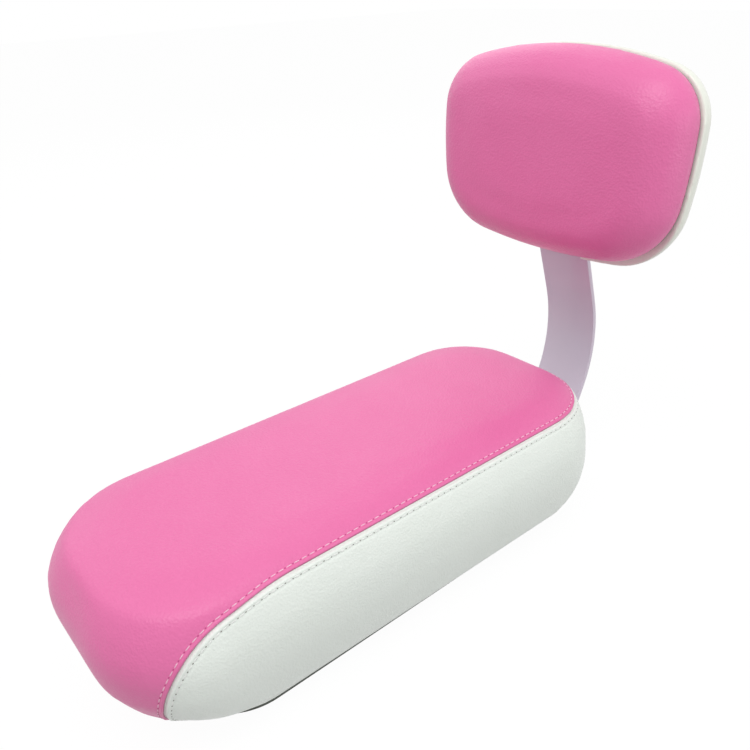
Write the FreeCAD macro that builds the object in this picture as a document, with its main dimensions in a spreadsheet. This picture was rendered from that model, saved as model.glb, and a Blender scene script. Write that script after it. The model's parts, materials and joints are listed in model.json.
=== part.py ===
# Child seat for a bicycle's rear rack: an upholstered seat and back rest on a bent steel bracket.
# Millimetres. +Z is up, the seat's nose points to -Y and the back rest stands at +Y.
# The origin is the middle of the four rack bolts, on the underside of the base plate.
import FreeCAD
import Part
import Sketcher
import math
import operator
import os
import types

doc = FreeCAD.newDocument("child_bike_seat")
sheet = doc.addObject("Spreadsheet::Sheet", "Sizes")

# Driving dimensions
DRIVING_SIZES = {
    # seat, outside of the cover
    "seat_front": 170.0,
    "seat_rear": 170.0,
    "seat_half_width": 70.9,
    "belly_level": 65.9,
    "seam_level": 94.5,
    "top_level": 100.5,
    "side_tuck": 19.7,
    "nose_tuck": 37.4,
    "rear_tuck": 9.0,
    "seam_side_tuck": 6.8,
    "seam_nose_tuck": 11.6,
    "seam_rear_tuck": 5.4,
    "side_roll": 20.1,
    "nose_roll": 40.4,
    "rear_roll": 17.6,
    "nose_radius": 51.0,
    "rear_radius": 47.0,
    "nose_hem_radius": 44.0,
    "rear_hem_radius": 24.0,
    # seam between the top panel and the side panel, seen from the side
    "seam_bend_start": 79.0,
    "seam_shoulder": 117.0,
    "seam_shoulder_radius": 183.0,
    "seam_corner_radius": 42.0,
    "seam_foot": 117.0,
    # upholstery
    "leather": 1.2,
    "foam_gap": 0.3,
    "hem_width": 12.0,
    "board_inset": 5.0,
    "seat_board_thick": 9.0,
    # base plate
    "plate_floor": 3.5,
    "plate_inset": 2.8,
    "plate_wall": 2.5,
    "plate_boss_radius": 5.0,
    "rack_boss_radius": 7.0,
    "rack_half_x": 30.0,
    "rack_half_y": 80.0,
    "screw_edge": 22.2,
    "screw_nose": 28.6,
    "screw_tail": 37.0,
    # bracket
    "strap_half_width": 20.0,
    "strap_gauge": 3.0,
    "strap_channel": 2.4,
    "channel_ramp": 26.0,
    "strap_clearance": 1.0,
    "strap_seat_gap": 0.1,
    "leg_start": 46.0,
    "rise_start": 172.0,
    "bow_y": 216.3,
    "bow_z": 101.0,
    "neck_drop": 54.9,
    "tab_top": 26.0,
    "foot_bend": 12.0,
    "bow_bend": 96.0,
    "neck_bend": 40.0,
    "strap_corner": 8.0,
    "leg_bolt_margin": 16.0,
    "leg_bolt_pitch": 36.0,
    "tab_bolt_margin": 14.0,
    "tab_bolt_pitch": 28.0,
    # back rest
    "back_y": 185.1,
    "back_z": 259.2,
    "back_tilt": 2.5,
    "back_half_width": 90.2,
    "back_top": 43.5,
    "back_bottom": 81.5,
    "back_side_bow": 320.0,
    "back_top_bow": 268.0,
    "back_bottom_bow": 410.0,
    "back_top_corner": 33.6,
    "back_bottom_corner": 44.5,
    "back_thick": 31.3,
    "back_edge": 24.8,
    "back_rear_tuck": 2.0,
    "back_board_thick": 6.0,
    "back_board_inset": 6.5,
    "back_hem_width": 14.0,
    "shell_gap": 0.8,
    "shell_drop": 5.0,
    "shell_rim": 5.0,
    "shell_depth": 20.0,
    "shell_edge": 24.0,
    "shell_wall": 2.5,
    "shell_lip": 9.0,
    "shell_boss_radius": 6.0,
    "shell_screw_x": 40.0,
    "shell_screw_high": 14.0,
    "shell_screw_low": 46.0,
    # fasteners
    "bolt_radius": 3.0,
    "bolt_head_radius": 5.2,
    "bolt_clearance": 0.3,
    "thread_gap": 0.05,
    "washer_radius": 6.5,
    "washer_thick": 1.2,
    "head_recess": 0.3,
    "head_gap": 1.0,
    "barrel_wall": 1.0,
    "flange_radius": 9.0,
    "flange_thick": 1.5,
    "insert_gap": 0.1,
    "screw_radius": 1.75,
    "screw_head_radius": 3.5,
    "screw_head_height": 2.3,
    "screw_bite": 5.0,
    "staple_crown": 10.0,
    "staple_wire": 0.7,
    "staple_leg": 5.0,
    "staple_pitch": 36.0,
    "staple_margin": 49.0,
    "back_staple_pitch": 28.0,
    "back_staple_margin": 29.5,
}
for row, (alias, number) in enumerate(DRIVING_SIZES.items(), 1):
    sheet.set(f"A{row}", alias)
    sheet.set(f"B{row}", str(number))
    sheet.setAlias(f"B{row}", alias)
doc.recompute()


class Size:
    """A length: its number now, and the expression that ties it to the sheet."""

    def __init__(self, number, text):
        self.number = number
        self.text = text

    def __add__(self, other):
        return combine(self, operator.add, "+", other)

    def __radd__(self, other):
        return combine(other, operator.add, "+", self)

    def __sub__(self, other):
        return combine(self, operator.sub, "-", other)

    def __rsub__(self, other):
        return combine(other, operator.sub, "-", self)

    def __mul__(self, other):
        return combine(self, operator.mul, "*", other)

    def __rmul__(self, other):
        return combine(other, operator.mul, "*", self)

    def __neg__(self):
        return combine(0, operator.sub, "-", self)


def as_size(value):
    return value if isinstance(value, Size) else Size(value, f"({value:.6f})")


def combine(left, operation, sign, right):
    left, right = as_size(left), as_size(right)
    return Size(operation(left.number, right.number), f"({left.text} {sign} {right.text})")


def cell(alias):
    return Size(float(sheet.get(alias)), f"Sizes.{alias}")


s = types.SimpleNamespace(**{alias: cell(alias) for alias in DRIVING_SIZES})
NONE = as_size(0)
# How far a cutting tool runs past the face that it cuts
OVERCUT = 1.0

# Levels and places that several pieces share
board_bottom = s.plate_floor + s.strap_gauge
board_top = board_bottom + s.seat_board_thick
hem_level = board_bottom - s.leather
hem_half_width = s.seat_half_width - s.side_tuck
hem_front = s.seat_front - s.nose_tuck
hem_rear = s.seat_rear - s.rear_tuck
insert_radius = s.bolt_radius + s.thread_gap + s.barrel_wall
bolt_hole = s.bolt_radius + s.bolt_clearance
strap_way = (s.strap_half_width + s.strap_clearance) * 2
back_board_front = s.leather + s.back_board_thick
SIDES = (-1, 1)
RACK_HOLES = [(s.rack_half_x * side, s.rack_half_y * end) for side in SIDES for end in SIDES]
LEG_BOLTS = [s.leg_start + s.leg_bolt_margin + s.leg_bolt_pitch * step for step in range(3)]
TAB_BOLTS = [s.tab_top - s.tab_bolt_margin - s.tab_bolt_pitch * step for step in range(2)]
plate_screw_x = hem_half_width - s.screw_edge
plate_screw_rows = (s.screw_nose - hem_front, NONE, hem_rear - s.screw_tail)
PLATE_SCREWS = [(plate_screw_x * side, y) for y in plate_screw_rows for side in SIDES]
shell_screw_rows = (s.shell_screw_high, -s.shell_screw_low)
SHELL_SCREWS = [(s.shell_screw_x * side, y) for y in shell_screw_rows for side in SIDES]
BACK_FRAME = (
    f"placement(vector(0; {s.back_y.text}; {s.back_z.text}); vector(1; 0; 0); 90 - {s.back_tilt.text})"
)
WORLD = "placement(vector(0; 0; 0); vector(1; 0; 0); 0)"


# Building blocks
def bind(item, **sizes):
    for name, value in sizes.items():
        item.setExpression(name, as_size(value).text)


def place(item, frame, x, y, z):
    spot = "; ".join(as_size(value).text for value in (x, y, z))
    item.setExpression("Placement", f"{frame} * placement(vector({spot}); vector(0; 0; 1); 0)")


def cylinder(name, frame, radius, height, x, y, z):
    item = doc.addObject("Part::Cylinder", name)
    bind(item, Radius=radius, Height=height)
    place(item, frame, x, y, z)
    return item


def drill(name, frame, radius, x, y, start, end):
    return cylinder(name, frame, radius, end - start, x, y, start)


def box(name, frame, length, width, height, x, y, z):
    """A box centred on x and y, standing on z."""
    item = doc.addObject("Part::Box", name)
    bind(item, Length=length, Width=width, Height=height)
    place(item, frame, x - length * 0.5, y - width * 0.5, z)
    return item


def fuse(name, pieces):
    item = doc.addObject("Part::MultiFuse", name)
    item.Shapes = pieces
    return item


def cut(name, base, tools):
    item = doc.addObject("Part::Cut", name)
    item.Base = base
    item.Tool = tools[0] if len(tools) == 1 else group(name + "_tools", tools)
    return item


def common(name, base, tool):
    item = doc.addObject("Part::Common", name)
    item.Base = base
    item.Tool = tool
    return item


def group(name, pieces):
    item = doc.addObject("Part::Compound", name)
    item.Links = pieces
    return item


def new_body(name, frame=WORLD):
    body = doc.addObject("PartDesign::Body", name)
    body.setExpression("Placement", frame)
    return body


def sketch_on(body, name, level, role="XY_Plane"):
    sketch = body.newObject("Sketcher::SketchObject", name)
    origin_plane = next(feature for feature in body.Origin.OriginFeatures if feature.Role == role)
    sketch.AttachmentSupport = [(origin_plane, "")]
    sketch.MapMode = "FlatFace"
    sketch.setExpression("AttachmentOffset.Base.z", as_size(level).text)
    return sketch


def constrain(sketch, name, value, *geometry):
    """A dimension of a sketch, named and bound to the sheet."""
    index = sketch.addConstraint(Sketcher.Constraint(*geometry, value.number))
    sketch.renameConstraint(index, name)
    sketch.setExpression(f"Constraints.{name}", value.text)


def arc(centre, radius, start, end):
    circle = Part.Circle(FreeCAD.Vector(*centre, 0), FreeCAD.Vector(0, 0, 1), radius)
    return Part.ArcOfCircle(circle, start, end)


def line(start, end):
    return Part.LineSegment(FreeCAD.Vector(*start, 0), FreeCAD.Vector(*end, 0))


def close_smoothly(sketch, count):
    for index in range(count):
        sketch.addConstraint(Sketcher.Constraint("Tangent", index, END, (index + 1) % count, START))


# How a sketch numbers the points of a curve, and its own axes
START, END, CENTRE = range(1, 4)
X_AXIS, Y_AXIS = range(-1, -3, -1)
ORIGIN = (X_AXIS, START)


def loaf_outline(sketch, half_width, front, rear, nose_round, rear_round):
    """A plan section of the seat: a rectangle with two nose corners and two rear corners."""
    w, f, r = half_width.number, front.number, rear.number
    a, b = nose_round.number, rear_round.number
    quarter = math.pi / 2
    sketch.addGeometry(line((a - w, -f), (w - a, -f)))
    sketch.addGeometry(arc((w - a, a - f), a, -quarter, 0))
    sketch.addGeometry(line((w, a - f), (w, r - b)))
    sketch.addGeometry(arc((w - b, r - b), b, 0, quarter))
    sketch.addGeometry(line((w - b, r), (b - w, r)))
    sketch.addGeometry(arc((b - w, r - b), b, quarter, 2 * quarter))
    sketch.addGeometry(line((-w, r - b), (-w, a - f)))
    sketch.addGeometry(arc((a - w, a - f), a, 2 * quarter, 3 * quarter))
    close_smoothly(sketch, 8)
    for index in (0, 4):
        sketch.addConstraint(Sketcher.Constraint("Symmetric", index, START, index, END, Y_AXIS))
    for index in (2, 6):
        sketch.addConstraint(Sketcher.Constraint("Vertical", index))
    sketch.addConstraint(Sketcher.Constraint("Equal", 1, 7))
    constrain(sketch, "nose_round", nose_round, "Radius", 1)
    constrain(sketch, "rear_round", rear_round, "Radius", 3)
    constrain(sketch, "half_width", half_width, "DistanceX", *ORIGIN, 2, START)
    constrain(sketch, "front", front, "DistanceY", 0, START, *ORIGIN)
    constrain(sketch, "rear", rear, "DistanceY", *ORIGIN, 4, START)


def hem_outline(sketch, inset):
    """The seat's outline at the hem, moved inwards."""
    outline = (hem_half_width, hem_front, hem_rear, s.nose_hem_radius, s.rear_hem_radius)
    loaf_outline(sketch, *[value - inset for value in outline])


def corner_centre(bow_centre, bow, side_centre, side, corner, upward):
    """Centre of a corner arc that touches two larger arcs from inside."""
    first, second = bow - corner, side - corner
    dx, dy = side_centre[0] - bow_centre[0], side_centre[1] - bow_centre[1]
    apart = math.hypot(dx, dy)
    along = (first**2 - second**2 + apart**2) / (2 * apart)
    across = math.sqrt(first**2 - along**2) * upward
    return (
        bow_centre[0] + (along * dx - across * dy) / apart,
        bow_centre[1] + (along * dy + across * dx) / apart,
    )


def heading(start, end):
    return math.atan2(end[1] - start[1], end[0] - start[0])


def pillow_outline(sketch, inset, drop=NONE):
    """The back rest's outline: four long bowed sides and four corners, moved inwards.

    Drop lowers the bottom side.
    """
    side, top_bow, bottom_bow = s.back_side_bow - inset, s.back_top_bow - inset, s.back_bottom_bow - inset
    top_corner, bottom_corner = s.back_top_corner - inset, s.back_bottom_corner - inset
    side_offset = s.back_side_bow - s.back_half_width
    top_offset = s.back_top_bow - s.back_top
    bottom_offset = s.back_bottom_bow - s.back_bottom - drop
    right = (-side_offset.number, 0)
    left = (side_offset.number, 0)
    top = (0, -top_offset.number)
    bottom = (0, bottom_offset.number)
    upper = corner_centre(top, top_bow.number, right, side.number, top_corner.number, -1)
    lower = corner_centre(bottom, bottom_bow.number, right, side.number, bottom_corner.number, 1)
    side_up, side_down = heading(right, upper), heading(right, lower)
    top_turn, bottom_turn = heading(top, upper), heading(bottom, lower)
    half_turn = math.pi
    sketch.addGeometry(arc(right, side.number, side_down, side_up))
    sketch.addGeometry(arc(upper, top_corner.number, side_up, top_turn))
    sketch.addGeometry(arc(top, top_bow.number, top_turn, half_turn - top_turn))
    sketch.addGeometry(
        arc((-upper[0], upper[1]), top_corner.number, half_turn - top_turn, half_turn - side_up)
    )
    sketch.addGeometry(arc(left, side.number, half_turn - side_up, half_turn - side_down))
    sketch.addGeometry(
        arc((-lower[0], lower[1]), bottom_corner.number, half_turn - side_down, half_turn - bottom_turn)
    )
    sketch.addGeometry(arc(bottom, bottom_bow.number, half_turn - bottom_turn, 2 * half_turn + bottom_turn))
    sketch.addGeometry(arc(lower, bottom_corner.number, bottom_turn, side_down))
    close_smoothly(sketch, 8)
    for index, axis in ((0, X_AXIS), (2, Y_AXIS), (4, X_AXIS), (6, Y_AXIS)):
        sketch.addConstraint(Sketcher.Constraint("PointOnObject", index, CENTRE, axis))
    for first, second in ((0, 4), (1, 3), (5, 7)):
        sketch.addConstraint(Sketcher.Constraint("Equal", first, second))
    constrain(sketch, "side_bow", side, "Radius", 0)
    constrain(sketch, "top_bow", top_bow, "Radius", 2)
    constrain(sketch, "bottom_bow", bottom_bow, "Radius", 6)
    constrain(sketch, "top_corner", top_corner, "Radius", 1)
    constrain(sketch, "bottom_corner", bottom_corner, "Radius", 7)
    constrain(sketch, "right_offset", side_offset, "DistanceX", 0, CENTRE, *ORIGIN)
    constrain(sketch, "left_offset", side_offset, "DistanceX", *ORIGIN, 4, CENTRE)
    constrain(sketch, "top_offset", top_offset, "DistanceY", 2, CENTRE, *ORIGIN)
    constrain(sketch, "bottom_offset", bottom_offset, "DistanceY", *ORIGIN, 6, CENTRE)


def pad(body, name, sketch, height):
    feature = body.newObject("PartDesign::Pad", name)
    feature.Profile = sketch
    bind(feature, Length=height)
    return feature


def pocket_down(body, name, sketch):
    """Cut away everything below a sketch, within its outline."""
    feature = body.newObject("PartDesign::Pocket", name)
    feature.Profile = sketch
    feature.Type = "ThroughAll"
    return feature


def loft(body, name, sketches):
    """A solid that is ruled from each section to the next."""
    feature = body.newObject("PartDesign::AdditiveLoft", name)
    feature.Profile = sketches[0]
    feature.Sections = sketches[1:]
    feature.Ruled = True
    return feature


# Seat upholstery
SKIRT_STEPS = (0.0, 0.25, 0.5, 0.75)
FLANK_STEPS = (0.0, 0.35, 0.7, 1.0)
ROLL_STEPS = ((0.33, 0.62), (0.67, 0.9), (1.0, 1.0))
ROLL_INSETS = ((0.4, 0.9), (0.2, 0.97), (0.0, 1.0))
ROLL_CORNER = 0.8


def seat_sections(depth):
    """Level and plan of each of the seat's sections, depth inside the cover's outside.

    A plan is half width, front, rear, nose radius and rear radius. The skirt runs from the hem to the
    belly, the flank from the belly to the seam, and the crown from the seam to the flat top.
    """
    hem_tucks = (s.side_tuck, s.nose_tuck, s.rear_tuck)
    seam_tucks = (s.seam_side_tuck, s.seam_nose_tuck, s.seam_rear_tuck)
    rolls = (s.side_roll, s.nose_roll, s.rear_roll)
    hem_radii = (s.nose_hem_radius, s.rear_hem_radius)
    radii = (s.nose_radius, s.rear_radius)
    start = hem_level + depth
    rows = []
    for rise in SKIRT_STEPS:
        tucks = [tuck * (1 - rise) ** 2 for tuck in hem_tucks]
        corners = [low + (high - low) * rise for low, high in zip(hem_radii, radii)]
        rows.append((start + (s.belly_level - start) * rise, tucks, corners, depth))
    for rise in FLANK_STEPS:
        tucks = [tuck * rise**2 for tuck in seam_tucks]
        rows.append((s.belly_level + (s.seam_level - s.belly_level) * rise, tucks, radii, depth))
    for (across, up), (inset, drop) in zip(ROLL_STEPS, ROLL_INSETS):
        tucks = [tuck + roll * across for tuck, roll in zip(seam_tucks, rolls)]
        corners = [radius - s.side_roll * (across * ROLL_CORNER) for radius in radii]
        level = s.seam_level + (s.top_level - s.seam_level) * up - depth * drop
        rows.append((level, tucks, corners, depth * inset))
    for level, (side, nose, rear), (nose_round, rear_round), inset in rows:
        plan = (s.seat_half_width - side, s.seat_front - nose, s.seat_rear - rear, nose_round, rear_round)
        yield level, [value - inset for value in plan]


def seat_loft(body, name, depth):
    sketches = []
    for number, (level, plan) in enumerate(seat_sections(as_size(depth))):
        sketch = sketch_on(body, f"{name}_section_{number}", level)
        loaf_outline(sketch, *plan)
        sketches.append(sketch)
    loft(body, f"{name}_form", sketches)


def make_seat_cover():
    """The whole sewn cover: a skin that folds under the board and leaves it open there."""
    outside = new_body("cover_outside")
    seat_loft(outside, "outside", 0)
    inside = new_body("cover_inside")
    seat_loft(inside, "inside", s.leather)
    opening = new_body("cover_opening")
    hem_edge = sketch_on(opening, "hem_edge", NONE)
    hem_outline(hem_edge, s.hem_width)
    pad(opening, "hem_hole", hem_edge, board_top)
    return cut("cover_hemmed", cut("cover_skin", outside, [inside]), [opening])


def make_seam_block():
    """Everything behind and below the side seam, as a block right across the seat."""
    reach = s.seat_half_width + s.strap_half_width
    below = s.plate_floor
    behind = s.seat_rear + s.strap_half_width
    body = new_body("seam_block")
    sketch = sketch_on(body, "seam_profile", -reach, "YZ_Plane")
    shoulder_radius, corner_radius = s.seam_shoulder_radius.number, s.seam_corner_radius.number
    bend, shoulder, level = s.seam_bend_start.number, s.seam_shoulder.number, s.seam_level.number
    slope = math.asin((shoulder - bend) / shoulder_radius)
    first = (-bend, level - shoulder_radius)
    turn = math.pi / 2 + slope
    reach_in = shoulder_radius - corner_radius
    second = (first[0] + reach_in * math.cos(turn), first[1] + reach_in * math.sin(turn))
    foot = (-s.seam_foot.number, below.number)
    far = math.hypot(foot[0] - second[0], foot[1] - second[1])
    leave = heading(second, foot) - math.acos(corner_radius / far) + 2 * math.pi
    touch = (second[0] + corner_radius * math.cos(leave), second[1] + corner_radius * math.sin(leave))
    rear_top, rear_foot = (behind.number, level), (behind.number, below.number)
    sketch.addGeometry(line(rear_top, (-bend, level)))
    sketch.addGeometry(arc(first, shoulder_radius, math.pi / 2, turn))
    sketch.addGeometry(arc(second, corner_radius, turn, leave))
    sketch.addGeometry(line(touch, foot))
    sketch.addGeometry(line(foot, rear_foot))
    sketch.addGeometry(line(rear_foot, rear_top))
    for index in (0, 1, 2):
        sketch.addConstraint(Sketcher.Constraint("Tangent", index, END, index + 1, START))
    for index in (3, 4, 5):
        sketch.addConstraint(Sketcher.Constraint("Coincident", index, END, (index + 1) % 6, START))
    for index in (0, 4):
        sketch.addConstraint(Sketcher.Constraint("Horizontal", index))
    sketch.addConstraint(Sketcher.Constraint("Vertical", 5))
    constrain(sketch, "level", s.seam_level, "DistanceY", *ORIGIN, 0, START)
    constrain(sketch, "below", below, "DistanceY", *ORIGIN, 4, START)
    constrain(sketch, "behind", behind, "DistanceX", *ORIGIN, 0, START)
    constrain(sketch, "bend_start", s.seam_bend_start, "DistanceX", 0, END, *ORIGIN)
    constrain(sketch, "shoulder", s.seam_shoulder, "DistanceX", 1, END, *ORIGIN)
    constrain(sketch, "shoulder_radius", s.seam_shoulder_radius, "Radius", 1)
    constrain(sketch, "corner_radius", s.seam_corner_radius, "Radius", 2)
    constrain(sketch, "foot", s.seam_foot, "DistanceX", 4, START, *ORIGIN)
    pad(body, "seam_span", sketch, reach * 2)
    return body


def make_seat_foam():
    body = new_body("seat_foam")
    seat_loft(body, "foam", s.leather + s.foam_gap)
    seat = sketch_on(body, "board_seat", board_top)
    hem_outline(seat, s.board_inset - s.foam_gap)
    pocket_down(body, "board_pocket", seat)
    return body


# Fasteners, each along its own local Z
def tee_nut(name, frame, x, y, bottom, top):
    """A threaded insert: a barrel down in the board and a flange flush with the board's top."""
    barrel = cylinder(f"{name}_barrel", frame, insert_radius, top - bottom, x, y, bottom)
    flange = cylinder(f"{name}_flange", frame, s.flange_radius, s.flange_thick, x, y, top - s.flange_thick)
    bore = drill(f"{name}_bore", frame, s.bolt_radius + s.thread_gap, x, y, bottom - OVERCUT, top + OVERCUT)
    return cut(name, fuse(f"{name}_blank", [barrel, flange]), [bore])


def tee_nut_seat(name, frame, x, y, bottom, top):
    """The stepped hole that an insert sits in."""
    end = top + OVERCUT
    hole = drill(f"{name}_hole", frame, insert_radius + s.insert_gap, x, y, bottom - OVERCUT, end)
    step = drill(f"{name}_step", frame, s.flange_radius + s.insert_gap, x, y, top - s.flange_thick, end)
    return fuse(f"{name}_seat", [hole, step])


def socket_bolt(name, frame, x, y, head_start, head_height, tip):
    head = cylinder(f"{name}_head", frame, s.bolt_head_radius, head_height, x, y, head_start)
    shank_start = head_start + head_height
    shank = cylinder(f"{name}_shank", frame, s.bolt_radius, tip - shank_start, x, y, shank_start)
    socket = doc.addObject("Part::Prism", f"{name}_socket")
    socket.Polygon = 6
    bind(socket, Circumradius=s.bolt_radius * 0.7, Height=head_height * 0.6)
    place(socket, frame, x, y, head_start)
    return cut(name, fuse(f"{name}_blank", [head, shank]), [socket])


def washer(name, frame, x, y, start):
    disc = cylinder(f"{name}_disc", frame, s.washer_radius, s.washer_thick, x, y, start)
    end = start + s.washer_thick + OVERCUT
    return cut(name, disc, [drill(f"{name}_hole", frame, bolt_hole, x, y, start - OVERCUT, end)])


def cross_screw(name, frame, x, y, head_start, tip):
    """A pan head screw with a cross recess."""
    head = cylinder(f"{name}_head", frame, s.screw_head_radius, s.screw_head_height, x, y, head_start)
    shank_start = head_start + s.screw_head_height
    shank = cylinder(f"{name}_shank", frame, s.screw_radius, tip - shank_start, x, y, shank_start)
    slot_long, slot_wide = s.screw_head_radius * 1.1, s.screw_head_radius * 0.25
    depth = s.screw_head_height * 0.5
    first = box(f"{name}_slot_a", frame, slot_long, slot_wide, depth, x, y, head_start)
    second = box(f"{name}_slot_b", frame, slot_wide, slot_long, depth, x, y, head_start)
    return cut(name, fuse(f"{name}_blank", [head, shank]), [fuse(f"{name}_slots", [first, second])])


def staple(name, frame, x, y, face, along_x):
    """A wire staple: its crown lies under the face and its two legs go up into the board."""
    wire = s.staple_wire
    reach_x, reach_y = (s.staple_crown, wire) if along_x else (wire, s.staple_crown)
    crown = box(f"{name}_crown", frame, reach_x, reach_y, wire, x, y, face - wire)
    half = (s.staple_crown - wire) * 0.5
    length = s.staple_leg + wire
    pieces = [crown]
    for side in SIDES:
        leg_x, leg_y = (x + half * side, y) if along_x else (x, y + half * side)
        pieces.append(box(f"{name}_leg_{side + 1}", frame, wire, wire, length, leg_x, leg_y, face - wire))
    return fuse(name, pieces)


# Seat
def corner_frame(side):
    """A frame at the centre of a rear corner of the hem, with its Y towards the corner."""
    x = (hem_half_width - s.rear_hem_radius) * side
    y = hem_rear - s.rear_hem_radius
    return f"placement(vector({x.text}; {y.text}; 0); vector(0; 0; 1); {-45 * side})"


def make_seat_staples():
    inset = s.hem_width * 0.8
    row_x = hem_half_width - inset
    corner_reach = s.rear_hem_radius - inset - s.staple_wire
    pieces = [staple("staple_nose", WORLD, NONE, inset - hem_front, hem_level, True)]
    for side in SIDES:
        corner = corner_frame(side)
        pieces.append(staple(f"staple_corner_{side + 1}", corner, NONE, corner_reach, hem_level, True))
        for step in range(6):
            y = hem_rear - s.staple_margin - s.staple_pitch * step
            pieces.append(staple(f"staple_{side + 1}_{step}", WORLD, row_x * side, y, hem_level, False))
    return group("seat_staples", pieces)


def make_seat_board(staples):
    body = new_body("seat_board_blank")
    sketch = sketch_on(body, "board_outline", board_bottom)
    hem_outline(sketch, s.board_inset)
    pad(body, "board_sheet", sketch, s.seat_board_thick)
    holes = []
    for number, (x, y) in enumerate(RACK_HOLES):
        holes.append(tee_nut_seat(f"rack_insert_{number}", WORLD, x, y, board_bottom, board_top))
    for number, y in enumerate(LEG_BOLTS):
        holes.append(tee_nut_seat(f"leg_insert_{number}", WORLD, NONE, y, board_bottom, board_top))
    pilot = s.screw_radius + s.thread_gap
    start, end = board_bottom - OVERCUT, board_bottom + s.screw_bite + s.thread_gap
    for number, (x, y) in enumerate(PLATE_SCREWS):
        holes.append(drill(f"plate_pilot_{number}", WORLD, pilot, x, y, start, end))
    return cut("seat_board", cut("seat_board_drilled", body, holes), [staples])


def make_seat_panels(staples):
    cover = make_seat_cover()
    block = make_seam_block()
    notch_height = s.leather + s.foam_gap + OVERCUT
    notch = box(
        "strap_notch", WORLD, strap_way, s.hem_width * 4, notch_height, NONE, hem_rear, hem_level - OVERCUT
    )
    top = cut("seat_top_panel", cut("top_panel_sewn", cover, [block]), [staples])
    side_blank = common("side_panel_blank", cover, block)
    side = cut("seat_side_panel", cut("side_panel_sewn", side_blank, [notch]), [staples])
    return top, side


def make_base_plate():
    body = new_body("base_plate_tray")
    floor_sketch = sketch_on(body, "plate_outline", NONE)
    hem_outline(floor_sketch, s.plate_inset)
    pad(body, "plate_block", floor_sketch, hem_level)
    well = sketch_on(body, "plate_well", hem_level)
    hem_outline(well, s.plate_inset + s.plate_wall)
    hollow = body.newObject("PartDesign::Pocket", "plate_hollow")
    hollow.Profile = well
    bind(hollow, Length=hem_level - s.plate_floor)
    below = as_size(-OVERCUT)
    through = board_bottom + OVERCUT
    shank = s.screw_radius + s.insert_gap
    head = s.screw_head_radius + s.bolt_clearance
    seat = s.head_recess + s.screw_head_height
    access = s.washer_radius + s.head_gap
    posts, holes = [], []
    for number, (x, y) in enumerate(RACK_HOLES):
        posts.append(cylinder(f"rack_boss_{number}", WORLD, s.rack_boss_radius, board_bottom, x, y, NONE))
        holes.append(drill(f"rack_hole_{number}", WORLD, bolt_hole, x, y, below, through))
    for number, (x, y) in enumerate(PLATE_SCREWS):
        posts.append(cylinder(f"screw_boss_{number}", WORLD, s.plate_boss_radius, board_bottom, x, y, NONE))
        holes.append(drill(f"screw_hole_{number}", WORLD, shank, x, y, below, through))
        holes.append(drill(f"screw_recess_{number}", WORLD, head, x, y, below, seat))
    for number, y in enumerate(LEG_BOLTS):
        holes.append(drill(f"bolt_access_{number}", WORLD, access, NONE, y, below, s.plate_floor + OVERCUT))
    edge, reach = hem_rear - s.plate_inset, s.hem_width * 2
    notch = box("plate_strap_way", WORLD, strap_way, reach, s.strap_gauge, NONE, edge, s.plate_floor)
    return cut("base_plate", fuse("base_plate_blank", [body] + posts), holes + [notch])


def make_plate_screws():
    tip = board_bottom + s.screw_bite
    screws = [
        cross_screw(f"plate_screw_{number}", WORLD, x, y, s.head_recess, tip)
        for number, (x, y) in enumerate(PLATE_SCREWS)
    ]
    return group("base_plate_screws", screws)


def make_rack_nuts():
    nuts = [
        tee_nut(f"rack_nut_{number}", WORLD, x, y, board_bottom + s.flange_thick, board_top)
        for number, (x, y) in enumerate(RACK_HOLES)
    ]
    return group("rack_tee_nuts", nuts)


def make_leg_hardware():
    bolts, washers, nuts = [], [], []
    head_height = s.plate_floor - s.washer_thick - s.head_recess
    tip = board_top - s.flange_thick * 0.5
    for number, y in enumerate(LEG_BOLTS):
        bolts.append(socket_bolt(f"leg_bolt_{number}", WORLD, NONE, y, s.head_recess, head_height, tip))
        washers.append(washer(f"leg_washer_{number}", WORLD, NONE, y, s.plate_floor - s.washer_thick))
        nuts.append(tee_nut(f"leg_nut_{number}", WORLD, NONE, y, board_bottom + s.flange_thick, board_top))
    return [group("bracket_bolts", bolts), group("bracket_washers", washers), group("bracket_tee_nuts", nuts)]


# Bracket: a flat leg under the seat, a bow behind it with a pressed channel, and a flat tab on the back
RUN_STEP = 12.0
TURN_STEP = math.radians(8)
TOUCH = 1e-6
X_DIRECTION = FreeCAD.Vector(1, 0, 0)


def strap_face(centre, along, channel):
    """Cross-section of the strap, with its middle pressed backwards by channel."""
    half, gauge = s.strap_half_width.number, s.strap_gauge.number
    forward = FreeCAD.Vector(0, -along.z, along.y)
    corners = [(-half, 0.5), (0, 0.5), (half, 0.5), (half, -0.5), (0, -0.5), (-half, -0.5)]
    points = []
    for x, side in corners:
        lift = gauge * side - (channel if x == 0 else 0)
        points.append(centre + X_DIRECTION * x + forward * lift)
    return Part.makePolygon(points + points[:1])


def round_corner(before, corner, after, radius):
    """Start, middle, turn and end of the arc that rounds a corner of the strap's path."""
    enter = (corner - before).normalize()
    leave = (after - corner).normalize()
    turn = math.atan2(enter.y * leave.z - enter.z * leave.y, enter.dot(leave))
    reach = radius * math.tan(abs(turn) / 2)
    start = corner - enter * reach
    side = math.copysign(1.0, turn)
    centre = start + FreeCAD.Vector(0, -enter.z, enter.y) * (radius * side)
    return start, centre, turn, corner + leave * reach


def arc_stations(start, centre, turn):
    count = max(2, math.ceil(abs(turn) / TURN_STEP))
    for number in range(count + 1):
        rotation = FreeCAD.Rotation(X_DIRECTION, math.degrees(turn * number / count))
        arm = rotation.multVec(start - centre)
        along = FreeCAD.Vector(0, -arm.z, arm.y).normalize() * math.copysign(1.0, turn)
        yield centre + arm, along


def run_stations(start, end):
    """Stations inside a straight run, without its ends."""
    along = (end - start).normalize()
    count = max(2, math.ceil((end - start).Length / RUN_STEP))
    for number in range(1, count):
        yield start + (end - start) * (number / count), along


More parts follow.
